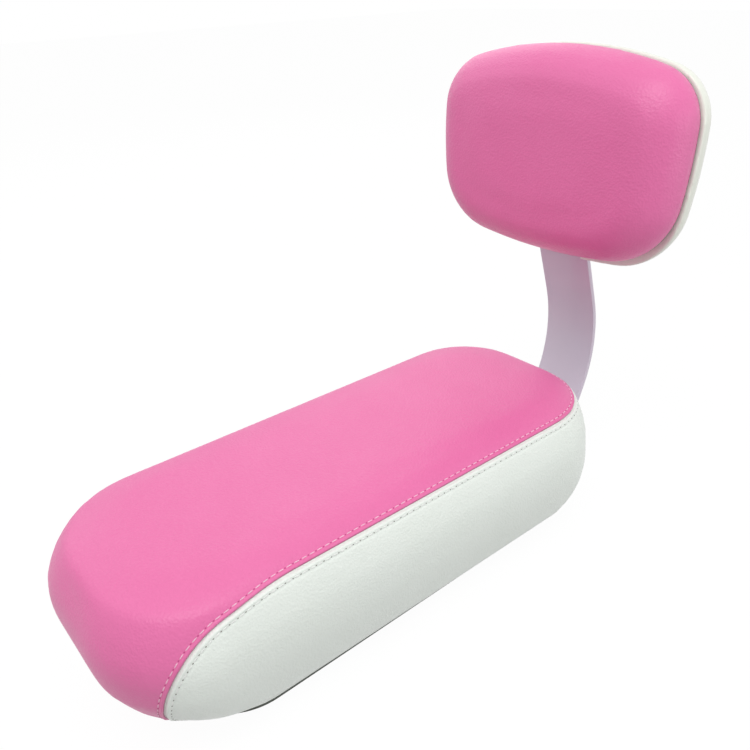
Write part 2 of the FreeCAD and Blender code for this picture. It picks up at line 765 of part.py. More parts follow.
def ease(share):
    share = min(max(share, 0.0), 1.0)
    return share * share * (3 - 2 * share)


def rounded_plate(length, frame, far_end):
    """A flat end of the strap from y = 0 to length, with its far corners rounded."""
    half, gauge = s.strap_half_width.number, s.strap_gauge.number
    plate = Part.makeBox(2 * half, length, gauge, FreeCAD.Vector(-half, 0, -gauge / 2))
    tip = length if far_end else 0.0
    corners = [
        edge
        for edge in plate.Edges
        if abs(edge.CenterOfMass.y - tip) < TOUCH and abs(abs(edge.CenterOfMass.x) - half) < TOUCH
    ]
    return plate.makeFillet(s.strap_corner.number, corners).transformGeometry(frame.toMatrix())


def make_bracket():
    gauge = s.strap_gauge.number
    middle = s.plate_floor.number + gauge / 2
    tilt = 90 - s.back_tilt.number
    seat_plane = FreeCAD.Vector(0, s.back_y.number, s.back_z.number)
    back = FreeCAD.Placement(seat_plane, FreeCAD.Rotation(X_DIRECTION, tilt))
    tab_plane = s.leather.number - s.strap_seat_gap.number - gauge / 2
    leg_start = FreeCAD.Vector(0, s.leg_start.number, middle)
    foot = FreeCAD.Vector(0, s.rise_start.number, middle)
    bow = FreeCAD.Vector(0, s.bow_y.number, s.bow_z.number)
    neck = back.multVec(FreeCAD.Vector(0, -s.neck_drop.number, tab_plane))
    tab_end = back.multVec(FreeCAD.Vector(0, s.tab_top.number, tab_plane))

    foot_start, foot_centre, foot_turn, foot_end = round_corner(leg_start, foot, bow, s.foot_bend.number)
    bow_start, bow_centre, bow_turn, bow_end = round_corner(foot, bow, neck, s.bow_bend.number)
    neck_start, neck_centre, neck_turn, neck_end = round_corner(bow, neck, tab_end, s.neck_bend.number)

    leg_frame = FreeCAD.Placement(leg_start, FreeCAD.Rotation())
    leg = rounded_plate(foot_start.y - leg_start.y, leg_frame, False)
    flat = Part.Face(strap_face(foot_start, FreeCAD.Vector(0, 1, 0), 0))
    foot_bend = flat.revolve(foot_centre, X_DIRECTION, math.degrees(foot_turn))
    rise = (bow - foot).normalize()
    stations = [(foot_end, rise)] + list(run_stations(foot_end, bow_start))
    stations += list(arc_stations(bow_start, bow_centre, bow_turn)) + list(run_stations(bow_end, neck_start))
    stations += list(arc_stations(neck_start, neck_centre, neck_turn))
    travel, gone = [0.0], 0.0
    for (first, _), (second, _) in zip(stations, stations[1:]):
        gone += (second - first).Length
        travel.append(gone)
    neck_run = gone - (neck_end - neck_start).Length
    ramp = s.channel_ramp.number
    sections = []
    for (centre, along), run in zip(stations, travel):
        press = ease(run / ramp) * ease((neck_run - run) / ramp)
        sections.append(strap_face(centre, along, s.strap_channel.number * press))
    bowed = Part.makeLoft(sections, True, False)
    tab_frame = FreeCAD.Placement(neck_end, back.Rotation)
    tab = rounded_plate((tab_end - neck_end).Length, tab_frame, True)
    strap = leg.fuse([foot_bend, bowed, tab]).removeSplitter()
    radius = bolt_hole.number
    for y in LEG_BOLTS:
        spot = FreeCAD.Vector(0, y.number, middle - gauge)
        strap = strap.cut(Part.makeCylinder(radius, 2 * gauge, spot))
    for y in TAB_BOLTS:
        hole = Part.makeCylinder(radius, 2 * gauge, FreeCAD.Vector(0, y.number, tab_plane - gauge))
        hole.Placement = back.multiply(hole.Placement)
        strap = strap.cut(hole)
    item = doc.addObject("Part::Feature", "back_bracket")
    item.Shape = strap
    return item


# Back rest, drawn in its own frame: X across, Y up the back, Z forwards, Z = 0 at the cover's rear edge
EDGE_ANGLES = (0, 18, 36, 54, 72, 90)


def back_pad_sections(depth):
    """Level and inset of the pad's sections, depth inside the cover."""
    yield depth, s.back_rear_tuck + depth
    edge = s.back_edge - depth
    for angle in EDGE_ANGLES:
        turn = math.radians(angle)
        yield s.back_thick - s.back_edge + edge * math.sin(turn), depth + edge * (1 - math.cos(turn))


def shell_sections(depth, mouth):
    """Level and inset of the shell's sections, from its mouth to its flat back."""
    yield mouth, depth
    edge = s.shell_edge - depth
    dome = s.shell_depth - s.shell_rim - depth
    for angle in EDGE_ANGLES:
        turn = math.radians(angle)
        yield -s.shell_rim - dome * math.sin(turn), depth + edge * (1 - math.cos(turn))


def pillow_loft(body, name, sections, drop=NONE):
    sketches = []
    for number, (level, inset) in enumerate(sections):
        sketch = sketch_on(body, f"{name}_section_{number}", level)
        pillow_outline(sketch, inset, drop)
        sketches.append(sketch)
    loft(body, f"{name}_form", sketches)


def make_back_staples():
    inset = s.back_rear_tuck + s.back_hem_width * 0.85
    side_x = s.back_half_width - inset
    pieces = []
    for side in SIDES:
        for step in range(3):
            y = s.back_top - s.back_staple_margin - s.back_staple_pitch * step
            pieces.append(staple(f"back_staple_{side + 1}_{step}", BACK_FRAME, side_x * side, y, NONE, False))
        low_x = (s.strap_half_width + s.staple_crown) * side
        low_y = inset - s.back_bottom
        pieces.append(staple(f"back_staple_low_{side + 1}", BACK_FRAME, low_x, low_y, NONE, True))
        top_x = (s.strap_half_width + s.staple_crown * 0.5) * side
        top_y = s.back_top - inset
        pieces.append(staple(f"back_staple_top_{side + 1}", BACK_FRAME, top_x, top_y, NONE, True))
    return group("back_staples", pieces)


def make_back_cover(staples):
    outside = new_body("back_cover_outside", BACK_FRAME)
    pillow_loft(outside, "back_outside", back_pad_sections(NONE))
    inside = new_body("back_cover_inside", BACK_FRAME)
    pillow_loft(inside, "back_inside", back_pad_sections(s.leather))
    opening = new_body("back_cover_opening", BACK_FRAME)
    hem_edge = sketch_on(opening, "back_hem_edge", as_size(-OVERCUT))
    pillow_outline(hem_edge, s.back_rear_tuck + s.back_hem_width)
    pad(opening, "back_hem_hole", hem_edge, back_board_front)
    skin = cut("back_cover_hemmed", cut("back_cover_skin", outside, [inside]), [opening])
    reach, depth = s.back_hem_width * 4, s.leather + s.foam_gap + OVERCUT
    low = -s.back_bottom
    notch = box("back_strap_notch", BACK_FRAME, strap_way, reach, depth, NONE, low, as_size(-OVERCUT))
    return cut("back_cover", cut("back_cover_notched", skin, [notch]), [staples])


def make_back_foam():
    body = new_body("back_foam", BACK_FRAME)
    pillow_loft(body, "back_foam_pad", back_pad_sections(s.leather + s.foam_gap))
    seat = sketch_on(body, "back_board_seat", back_board_front)
    pillow_outline(seat, s.back_board_inset - s.foam_gap)
    pocket_down(body, "back_board_pocket", seat)
    return body


def make_back_board(staples):
    body = new_body("back_board_blank", BACK_FRAME)
    sketch = sketch_on(body, "back_board_outline", s.leather)
    pillow_outline(sketch, s.back_board_inset)
    pad(body, "back_board_sheet", sketch, s.back_board_thick)
    holes = []
    for number, y in enumerate(TAB_BOLTS):
        holes.append(tee_nut_seat(f"tab_insert_{number}", BACK_FRAME, NONE, y, s.leather, back_board_front))
    pilot = s.screw_radius + s.thread_gap
    start, end = s.leather - OVERCUT, s.leather + s.screw_bite + s.thread_gap
    for number, (x, y) in enumerate(SHELL_SCREWS):
        holes.append(drill(f"shell_pilot_{number}", BACK_FRAME, pilot, x, y, start, end))
    return cut("back_board", cut("back_board_drilled", body, holes), [staples])


def make_back_shell():
    """A moulded dome with a turned-in lip, four posts to the board and a slot below for the strap."""
    outside = new_body("shell_outside", BACK_FRAME)
    pillow_loft(outside, "shell_form", shell_sections(NONE, -s.shell_gap), s.shell_drop)
    lip_floor = -s.shell_gap - s.shell_wall
    inside = new_body("shell_inside", BACK_FRAME)
    pillow_loft(inside, "shell_hollow", shell_sections(s.shell_wall, lip_floor), s.shell_drop)
    mouth = new_body("shell_mouth", BACK_FRAME)
    lip_edge = sketch_on(mouth, "shell_lip_edge", lip_floor - OVERCUT)
    pillow_outline(lip_edge, s.shell_lip, s.shell_drop)
    pad(mouth, "shell_mouth_hole", lip_edge, s.shell_wall + OVERCUT * 2)
    dome = cut("shell_dome", outside, [inside, mouth])
    floor = s.shell_wall * 0.5 - s.shell_depth
    start, end = -s.shell_depth - OVERCUT, s.leather + OVERCUT
    shank = s.screw_radius + s.insert_gap
    head = s.screw_head_radius + s.bolt_clearance
    seat = s.head_recess + s.screw_head_height - s.shell_depth
    posts, holes = [], []
    for number, (x, y) in enumerate(SHELL_SCREWS):
        posts.append(drill(f"shell_post_{number}", BACK_FRAME, s.shell_boss_radius, x, y, floor, s.leather))
        holes.append(drill(f"shell_hole_{number}", BACK_FRAME, shank, x, y, start, end))
        holes.append(drill(f"shell_recess_{number}", BACK_FRAME, head, x, y, start, seat))
    slot_depth = s.shell_depth * 0.85
    low = -s.back_bottom - s.shell_drop
    slot = box("shell_slot", BACK_FRAME, strap_way, s.shell_edge * 1.5, slot_depth, NONE, low, -slot_depth)
    return cut("back_shell", fuse("shell_blank", [dome] + posts), holes + [slot])


def make_shell_screws():
    tip = s.leather + s.screw_bite
    screws = [
        cross_screw(f"shell_screw_{number}", BACK_FRAME, x, y, s.head_recess - s.shell_depth, tip)
        for number, (x, y) in enumerate(SHELL_SCREWS)
    ]
    return group("shell_screws", screws)


def make_tab_hardware():
    bolts, washers, nuts = [], [], []
    strap_rear = s.leather - s.strap_seat_gap - s.strap_gauge
    head_height = s.bolt_radius
    head_start = strap_rear - s.washer_thick - head_height
    tip = back_board_front - s.flange_thick * 0.5
    nut_foot = s.leather + s.foam_gap
    for number, y in enumerate(TAB_BOLTS):
        bolts.append(socket_bolt(f"tab_bolt_{number}", BACK_FRAME, NONE, y, head_start, head_height, tip))
        washers.append(washer(f"tab_washer_{number}", BACK_FRAME, NONE, y, strap_rear - s.washer_thick))
        nuts.append(tee_nut(f"tab_nut_{number}", BACK_FRAME, NONE, y, nut_foot, back_board_front))
    return [group("back_bolts", bolts), group("back_washers", washers), group("back_tee_nuts", nuts)]


# Assembly
seat_staples = make_seat_staples()
back_staples = make_back_staples()
seat_top_panel, seat_side_panel = make_seat_panels(seat_staples)
nodes = [seat_top_panel, seat_side_panel, seat_staples, make_seat_foam(), make_seat_board(seat_staples)]
nodes += [make_base_plate(), make_plate_screws(), make_rack_nuts(), make_bracket()]
nodes += make_leg_hardware()
nodes += [make_back_cover(back_staples), make_back_foam(), make_back_board(back_staples), back_staples]
nodes += [make_back_shell(), make_shell_screws()]
nodes += make_tab_hardware()
doc.recompute()

for item in doc.Objects:
    if {"Invalid", "Error"} & set(item.State):
        raise RuntimeError(f"{item.Name} did not build: {item.State}")
for node in nodes:
    if node.Shape.isNull() or not node.Shape.isValid() or not node.Shape.Solids:
        raise RuntimeError(f"{node.Label} has no valid solid")

os.makedirs("parts", exist_ok=True)
for node in nodes:
    node.Shape.exportStep(f"parts/{node.Label}.step")
    print(node.Label, len(node.Shape.Solids), round(node.Shape.Volume / 1000, 2), "cm3")
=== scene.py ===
# A child's bicycle seat: a pink and white padded seat, a bowed steel bracket and a padded back rest.
# Metres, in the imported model's frame: +Z is up, the nose points to -Y and the visible side is +X.
import bpy
import bmesh
import json
import math
import numpy as np
from mathutils import Matrix, Vector, noise
from mathutils.bvhtree import BVHTree


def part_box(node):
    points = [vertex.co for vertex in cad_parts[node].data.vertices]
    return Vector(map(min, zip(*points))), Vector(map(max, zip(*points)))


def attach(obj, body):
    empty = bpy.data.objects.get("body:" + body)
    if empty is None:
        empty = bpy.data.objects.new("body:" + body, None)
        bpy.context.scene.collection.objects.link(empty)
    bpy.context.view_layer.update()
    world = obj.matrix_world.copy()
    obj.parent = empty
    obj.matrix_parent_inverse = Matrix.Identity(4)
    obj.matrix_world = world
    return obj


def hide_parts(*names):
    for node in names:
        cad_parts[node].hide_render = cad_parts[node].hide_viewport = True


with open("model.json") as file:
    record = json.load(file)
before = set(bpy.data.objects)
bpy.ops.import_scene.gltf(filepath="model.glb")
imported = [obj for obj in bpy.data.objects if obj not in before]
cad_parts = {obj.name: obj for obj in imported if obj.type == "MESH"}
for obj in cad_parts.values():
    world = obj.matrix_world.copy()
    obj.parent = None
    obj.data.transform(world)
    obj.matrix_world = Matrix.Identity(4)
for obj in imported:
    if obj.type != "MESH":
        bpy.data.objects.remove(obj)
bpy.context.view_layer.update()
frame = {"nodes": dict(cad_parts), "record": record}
scene = bpy.context.scene

# Seam between the pink panel and the white panel, seen from the side
SEAM_LEVEL = 0.0945
SEAM_REAR = 0.190
SEAM_BEND_START = -0.079
SEAM_SHOULDER = -0.117
SEAM_SHOULDER_RADIUS = 0.183
SEAM_CORNER_RADIUS = 0.042
SEAM_FOOT = Vector((-0.117, 0.0035))
SEAM_STEPS = 24
SEAM_LEAN_LIMIT = 0.15

# Sewing
LEATHER = 0.0012
CREASE_DEPTH = 0.0010
CREASE_WIDTH = 0.0007
# How far painted shade reaches from the seam, and from the back cover's tucked rear edge
CREASE_SHADE = 0.00042
REAR_EDGE_SHADE = 0.0016
WELT_HEIGHT = 0.0005
PINK_ROW = 0.0027
WHITE_ROW = 0.0034
STITCH_PITCH = 0.0045
STITCH_LENGTH = 0.0032
THREAD_RADIUS = 0.00022
NEEDLE_HOLE = 0.00036
HOLE_STRETCH = 1.25
HOLE_LIFT = 0.00006
FINE_REACHES = (0.008, 0.003)
LINE_SOFTENING = 12
ROW_SOFTENING = 4
ROW_STEP = 0.001
ROW_SPAN = 4
ROW_SEARCH = 0.006

# Padding
SEAT_VOXEL = 0.005
BACK_VOXEL = 0.004
SHRINK = 0.0006
SIDE_SWELL = 0.0008
SEAT_TOP_SWELL = 0.0016
BACK_FRONT_SWELL = 0.0020
BACK_RIM = 0.004
BACK_CORNER_DROP = 0.006
BACK_FLAT = 0.45
FILL_ROUNDS = 2
FIRST_SMOOTHING = 3
SMOOTHING = 16
CROWN = 0.0012
CROWN_RISE = 0.006
PRESSURE = 4.0
STRETCH_STIFFNESS = 25.0
BEND_STIFFNESS = 2.0
SIM_FRAMES = 20
FOAM_GAP = 0.0006
BOARD_ROOM = 0.002

# Hems: how far the covers turn in under their boards, and the strap's way out of them
SEAT_HEM = 0.007
SEAT_NOTCH = 0.03
BACK_HEM_SHARE = np.array((0.9, 0.87, 1.0))
BACK_HEM_SHIFT = np.array((0.0, 0.002, 0.0045))
BACK_NOTCH_LOW = (-0.13, -0.01)
BACK_NOTCH_HIGH = (-0.05, 0.0015)

# Steel and moulded parts
BROKEN_EDGE = 0.0006
SHELL_VOXEL = 0.0009
SHELL_SMOOTHING = 8
TRAY_TUCK = 0.0028
TRAY_TUCK_FROM = -0.10
TRAY_TUCK_HEIGHT = 0.0012
TRAY_RIM = 0.038

# Angles up to which faces are shaded as one surface, merged as one plane, or left unbevelled
SOFT_ANGLE = math.radians(35)
COVER_ANGLE = math.radians(60)
STRAP_ANGLE = math.radians(30)
TRAY_ANGLE = math.radians(25)
FLAT_ANGLE = math.radians(0.5)
BLUNT_ANGLE = math.radians(40)

# The back rest's own frame: X across, Y up the back, Z forwards from the cover's rear edge
BACK_TILT = math.radians(2.5)
BACK_ORIGIN = Vector((0.0, 0.1851, 0.2592))
BACK_FRAME = Matrix.Translation(BACK_ORIGIN) @ Matrix.Rotation(math.pi / 2 - BACK_TILT, 4, "X")
BACK_TURN = np.array(BACK_FRAME.inverted().to_3x3())
BACK_SHIFT = np.array(BACK_FRAME.inverted().translation)

# Camera
CAMERA_AZIMUTH = math.radians(51.684)
CAMERA_ELEVATION = math.radians(27.876)
CAMERA_ROLL = math.radians(-2.393)
CAMERA_DISTANCE = 0.49635
CAMERA_TARGET = Vector((-0.0396, 0.05634, 0.11029))
CAMERA_LENS = 36.297
SENSOR_WIDTH = 36.0

# Light
WHITE = (1.0, 1.0, 1.0, 1.0)
AMBIENT = 0.58
FLOOR_SIZE = 12.0
FLOOR_DROP = 0.0005
FLOOR_GREY = 0.44
FLOOR_WHITE = 1.07
FLOOR_GLOW = 0.9
# Each lamp's name, place, target, size and power
LAMPS = (
    ("back", (-1.2, 0.9, 1.0), (0, 0, 0.1), 1.0, 3.2),
    ("front", (0.3, -0.5, 1.25), (0, 0.1, 0.2), 0.5, 4.9),
    ("top", (0.5, -0.1, 1.35), (0, 0.05, 0.15), 0.4, 2.4),
    ("right", (1.0, 0.45, 0.22), (0, 0, 0.05), 0.6, 2.3),
    ("left", (-1.2, -0.3, 0.8), (0, 0, 0.1), 0.8, 1.6),
)


# Objects
def only(piece):
    """Make one object the selected and active one."""
    bpy.ops.object.select_all(action="DESELECT")
    piece.select_set(True)
    bpy.context.view_layer.objects.active = piece
    return piece


def finish_with(piece, kind, **settings):
    """Add a modifier and apply it."""
    only(piece)
    modifier = piece.modifiers.new(kind.lower(), kind)
    for name, value in settings.items():
        setattr(modifier, name, value)
    bpy.ops.object.modifier_apply(modifier=modifier.name)
    return piece


def smoothed(piece, rounds, group=""):
    return finish_with(piece, "SMOOTH", factor=0.5, iterations=rounds, vertex_group=group)


def new_piece(name, mesh):
    piece = bpy.data.objects.new(name, mesh)
    scene.collection.objects.link(piece)
    return piece


def copy_of(name, *sources):
    """A new piece that joins copies of other objects' meshes, with doubles merged."""
    copies = [new_piece(name, source.data.copy()) for source in sources]
    first = only(copies[0])
    for copy in copies:
        copy.select_set(True)
    bpy.ops.object.join()
    first.data.materials.clear()
    bpy.ops.object.mode_set(mode="EDIT")
    bpy.ops.mesh.select_all(action="SELECT")
    bpy.ops.mesh.remove_doubles(threshold=1e-6)
    bpy.ops.object.mode_set(mode="OBJECT")
    return first


def node_copy(name, *nodes):
    return copy_of(name, *[frame["nodes"][node] for node in nodes])


def hull_of(name, *nodes):
    """The closed outer form of some CAD nodes, all of which bulge outwards everywhere."""
    piece = node_copy(name, *nodes)
    bpy.ops.object.mode_set(mode="EDIT")
    bpy.ops.mesh.select_all(action="SELECT")
    bpy.ops.mesh.convex_hull()
    bpy.ops.mesh.normals_make_consistent(inside=False)
    bpy.ops.object.mode_set(mode="OBJECT")
    return piece


def discard(piece):
    bpy.data.objects.remove(piece)


def places(piece):
    flat = np.empty(len(piece.data.vertices) * 3, np.float32)
    piece.data.vertices.foreach_get("co", flat)
    return flat.reshape(-1, 3).astype(float)


def facings(piece):
    flat = np.empty(len(piece.data.vertices) * 3, np.float32)
    piece.data.vertex_normals.foreach_get("vector", flat)
    return flat.reshape(-1, 3).astype(float)


def move_to(piece, points):
    piece.data.vertices.foreach_set("co", points.astype(np.float32).ravel())
    piece.data.update()


def surface_of(piece):
    return BVHTree.FromObject(piece, bpy.context.evaluated_depsgraph_get())


def depth_in(form, points):
    """How deep points lie in a closed convex form, below 0 outside it."""
    surface = surface_of(form)
    depth = np.empty(len(points))
    for index, point in enumerate(points):
        nearest, normal = surface.find_nearest(Vector(point))[:2]
        depth[index] = (nearest - Vector(point)).dot(normal)
    return depth


def trim(piece, tool, keep_inside=False):
    """Cut a sheet along a closed form and delete the part inside it, or outside it."""
    depth = depth_in(tool, places(piece)) * (-1 if keep_inside else 1)
    shape = bmesh.new()
    shape.from_mesh(piece.data)
    level = dict(zip(shape.verts, depth))
    cuts = []
    for edge in list(shape.edges):
        start, end = edge.verts
        if level[start] * level[end] < 0:
            share = level[start] / (level[start] - level[end])
            cuts.append(bmesh.utils.edge_split(edge, start, share)[1])
            level[cuts[-1]] = 0.0
    bmesh.ops.connect_verts(shape, verts=cuts)
    gone = [face for face in shape.faces if sum(level[vert] for vert in face.verts) > 0]
    bmesh.ops.delete(shape, geom=gone, context="FACES")
    shape.to_mesh(piece.data)
    shape.free()
    return piece


def cutting_box(name, low, high, matrix=Matrix.Identity(4)):
    low, high = Vector(low), Vector(high)
    bpy.ops.object.select_all(action="DESELECT")
    bpy.ops.mesh.primitive_cube_add(size=1, location=(low + high) / 2)
    tool = bpy.context.object
    tool.name = name
    tool.scale = high - low
    bpy.ops.object.transform_apply(location=True, rotation=True, scale=True)
    tool.data.transform(matrix)
    return tool


def smooth_shaded(piece, angle=SOFT_ANGLE):
    only(piece)
    bpy.ops.object.shade_smooth_by_angle(angle=angle)
    return piece


# Shader expressions
class Wire:
    """A value in a shader's nodes. Arithmetic on it adds Math nodes."""

    def __init__(self, shading, socket):
        self.shading = shading
        self.socket = socket

    def maths(self, operation, first, second):
        return self.shading.node("ShaderNodeMath", {"operation": operation}, {0: first, 1: second})

    def __add__(self, other):
        return self.maths("ADD", self, other)

    def __radd__(self, other):
        return self.maths("ADD", other, self)

    def __sub__(self, other):
        return self.maths("SUBTRACT", self, other)

    def __rsub__(self, other):
        return self.maths("SUBTRACT", other, self)

    def __mul__(self, other):
        return self.maths("MULTIPLY", self, other)

    def __rmul__(self, other):
        return self.maths("MULTIPLY", other, self)

    def clamped(self):
        return self.shading.node("ShaderNodeClamp", {}, {"Value": self})


class Shading:
    """The nodes of a material or of the world."""

    def __init__(self, owner):
        owner.use_nodes = True
        self.nodes = owner.node_tree.nodes
        self.links = owner.node_tree.links

    def node(self, kind, settings, sockets, output=0):
        made = self.nodes.new(kind)
        for name, value in settings.items():
            setattr(made, name, value)
        self.feed(made, sockets)
        return Wire(self, made.outputs[output])

    def feed(self, node, sockets):
        by_identifier = {socket.identifier: socket for socket in node.inputs}
        for key, value in sockets.items():
            socket = by_identifier[key] if key in by_identifier else node.inputs[key]
            if isinstance(value, Wire):
                self.links.new(value.socket, socket)
            else:
                socket.default_value = value

    def seen_by_eye(self):
        """1 for rays that show the background: straight, in a reflection or through something clear."""
        seen = self.node("ShaderNodeLightPath", {}, {}, "Is Camera Ray")
        rays = seen.socket.node.outputs
        for kind in ("Is Glossy Ray", "Is Transmission Ray"):
            seen = seen.maths("MAXIMUM", seen, Wire(self, rays[kind]))
        return seen

    def surface(self, output, share, lit, shown):
        """Mix what light meets with what the eye is shown, and put it out."""
        mixed = self.node("ShaderNodeMixShader", {}, {0: share, 1: lit, 2: shown})
        self.feed(self.nodes[output], {"Surface": mixed})


class Finish(Shading):
    """One of the seat's materials."""

    def __init__(self, name):
        self.material = bpy.data.materials.new(name)
        super().__init__(self.material)
        self.shader = self.nodes["Principled BSDF"]
        self.where = self.node("ShaderNodeTexCoord", {}, {}, "Object")

    def noise(self, scale, detail=2.0, where=None):
        settings = {"Vector": where or self.where, "Scale": scale, "Detail": detail}
        return self.node("ShaderNodeTexNoise", {}, settings)

    def cells(self, scale):
        return self.node("ShaderNodeTexVoronoi", {}, {"Vector": self.where, "Scale": scale})

    def stretched(self, x, y, z):
        return self.node("ShaderNodeMapping", {}, {"Vector": self.where, "Scale": (x, y, z)})

    def mix(self, share, first, second):
        sockets = {"Factor_Float": share, "A_Color": first, "B_Color": second}
        made = self.node("ShaderNodeMix", {"data_type": "RGBA"}, sockets)
        made.socket = next(s for s in made.socket.node.outputs if s.identifier == "Result_Color")
        return made

    def attribute(self, name):
        return self.node("ShaderNodeAttribute", {"attribute_name": name}, {}, "Fac")

    def bump(self, height, strength, distance):
        sockets = {"Height": height, "Strength": strength, "Distance": distance}
        return self.node("ShaderNodeBump", {}, sockets)

    def principled(self, **sockets):
        self.feed(self.shader, {name.replace("_", " "): value for name, value in sockets.items()})
        return self.material


def srgb(red, green, blue):
    """A colour given as it looks on a screen, from 0 to 255."""
    shares = [value / 255 for value in (red, green, blue)]
    linear = [v / 12.92 if v <= 0.04045 else ((v + 0.055) / 1.055) ** 2.4 for v in shares]
    return (*linear, 1.0)


# Materials
def leathercloth(name, colour, deep_colour, shade_colour):
    """Coated cloth with a fine pebbled grain, a little uneven in colour, and with painted shade along its
    seam and its tucked edges.
    """
    finish = Finish(name)
    pebbles = finish.cells(780.0)
    pores = finish.noise(2600.0, 2.0)
    patches = finish.noise(34.0, 3.0)
    flecks = finish.noise(420.0, 2.0)
    uneven = (patches * 0.7 + flecks * 0.5 - 0.25).clamped()
    colour = finish.mix(uneven, colour, deep_colour)
    # Painted shade: the colour turns darker towards the seam and the tucked rear edge, by the stored
    # nearness
    colour = finish.mix(finish.attribute("painted_shade"), colour, shade_colour)
    return finish.principled(
        Base_Color=colour,
        Roughness=0.34 + patches * 0.08 + pebbles * 0.08,
        Normal=finish.bump(pebbles * 0.7 + pores * 0.3, 0.8, 0.0003),
        IOR=1.48,
    )


def painted_steel():
    finish = Finish("lilac_paint")
    peel = finish.noise(480.0, 2.0)
    drift = finish.noise(22.0, 2.0)
    colour = finish.mix(drift, srgb(226, 210, 225), srgb(214, 202, 220))
    return finish.principled(
        Base_Color=colour,
        Roughness=0.3 + peel * 0.14,
        Normal=finish.bump(peel, 0.16, 0.0002),
        Coat_Weight=0.25,
        Coat_Roughness=0.18,
    )


def gloss_shell():
    finish = Finish("moulded_white")
    skin = finish.noise(900.0, 2.0)
    drift = finish.noise(16.0, 2.0)
    colour = finish.mix(drift, srgb(244, 246, 236), srgb(236, 239, 228))
    return finish.principled(
        Base_Color=colour,
        Roughness=0.26 + skin * 0.12,
        Normal=finish.bump(skin, 0.08, 0.0002),
        IOR=1.49,
    )


def black_moulding():
    finish = Finish("black_moulding")
    texture = finish.cells(1100.0)
    dust = finish.noise(60.0, 4.0)
    colour = finish.mix(dust, srgb(76, 80, 73), srgb(94, 98, 90))
    return finish.principled(
        Base_Color=colour,
        Roughness=0.62 + dust * 0.16,
        Normal=finish.bump(texture, 0.35, 0.00025),
    )


def plywood():
    finish = Finish("birch_plywood")
    grain = finish.noise(36.0, 5.0, finish.stretched(5.0, 0.5, 12.0))
    figure = finish.noise(9.0, 2.0)
    colour = finish.mix((grain + figure * 0.4 - 0.2).clamped(), srgb(222, 192, 148), srgb(176, 134, 88))
    return finish.principled(
        Base_Color=colour,
        Roughness=0.55 + grain * 0.2,
        Normal=finish.bump(grain, 0.25, 0.0003),
    )


def cream_foam():
    finish = Finish("cream_foam")
    bubbles = finish.cells(800.0)
    aged = finish.noise(24.0, 3.0)
    colour = finish.mix(aged, srgb(238, 226, 190), srgb(222, 204, 158))
    return finish.principled(
        Base_Color=colour,
        Roughness=0.88 + bubbles * 0.1,
        Normal=finish.bump(bubbles, 0.8, 0.0006),
    )


def zinc_steel():
    finish = Finish("zinc_steel")
    brushed = finish.noise(300.0, 3.0, finish.stretched(1.0, 1.0, 14.0))
    tint = finish.noise(120.0, 2.0)
    colour = finish.mix(tint, srgb(196, 199, 202), srgb(170, 172, 170))
    return finish.principled(
        Base_Color=colour,
        Metallic=1.0,
        Roughness=0.28 + brushed * 0.22,
        Normal=finish.bump(brushed, 0.12, 0.0001),
    )


def sewing_thread(name, colour, deep_colour):
    finish = Finish(name)
    twist = finish.noise(3200.0, 1.0)
    colour = finish.mix(twist, colour, deep_colour)
    return finish.principled(
        Base_Color=colour,
        Roughness=0.6 + twist * 0.2,
        Normal=finish.bump(twist, 0.5, 0.0002),
        Sheen_Weight=0.1,
    )


# Colour of a needle hole, which is painted shade, mottled at random
def painted_hole_shade(name, colour, deep_shade_colour):
    finish = Finish(name)
    hole_mottle = finish.noise(2400.0, 2.0)
    return finish.principled(
        Base_Color=finish.mix(hole_mottle, colour, deep_shade_colour),
        Roughness=0.8 + hole_mottle * 0.15,
    )


# The third colour of each leathercloth is painted shade for its seam and its tucked edges
pink_finish = leathercloth(
    "pink_leathercloth", srgb(236, 119, 175), srgb(230, 110, 167), srgb(150, 52, 98)
)
white_finish = leathercloth(
    "white_leathercloth", srgb(243, 249, 243), srgb(236, 243, 235), srgb(206, 186, 190)
)
strap_finish = painted_steel()
shell_finish = gloss_shell()
plate_finish = black_moulding()
wood_finish = plywood()
foam_finish = cream_foam()
steel_finish = zinc_steel()
pink_thread_finish = sewing_thread("pale_pink_thread", srgb(252, 214, 230), srgb(240, 186, 210))
white_thread_finish = sewing_thread("white_thread", srgb(250, 250, 248), srgb(232, 234, 230))
# Needle holes: dark colours that paint the shade inside each hole
pink_hole_shade_finish = painted_hole_shade("pink_hole_shade", srgb(206, 88, 142), srgb(190, 74, 128))
white_hole_shade_finish = painted_hole_shade("white_hole_shade", srgb(152, 154, 146), srgb(128, 124, 120))


def dress(piece, finish):
    """Give a new piece its finish and its body."""
    piece.data.materials.clear()
    piece.data.materials.append(finish)
    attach(piece, "root")


# Seam
def seam_line():
    """The seam's profile as (y, z) points, from behind the seat to the foot under the nose."""
    first = Vector((SEAM_BEND_START, SEAM_LEVEL - SEAM_SHOULDER_RADIUS))
    slope = math.asin((SEAM_BEND_START - SEAM_SHOULDER) / SEAM_SHOULDER_RADIUS)
    turn = math.pi / 2 + slope
    second = first + Vector((math.cos(turn), math.sin(turn))) * (SEAM_SHOULDER_RADIUS - SEAM_CORNER_RADIUS)
    to_foot = SEAM_FOOT - second
    bearing = math.atan2(to_foot.y, to_foot.x) + 2 * math.pi
    leave = bearing - math.acos(SEAM_CORNER_RADIUS / to_foot.length)
    line = [Vector((SEAM_REAR, SEAM_LEVEL))]
    for centre, radius, start, end in (
        (first, SEAM_SHOULDER_RADIUS, math.pi / 2, turn),
        (second, SEAM_CORNER_RADIUS, turn, leave),
    ):
        for step in range(SEAM_STEPS + 1):
            angle = start + (end - start) * step / SEAM_STEPS
            line.append(centre + Vector((math.cos(angle), math.sin(angle))) * radius)
    return line + [SEAM_FOOT]


seam = seam_line()


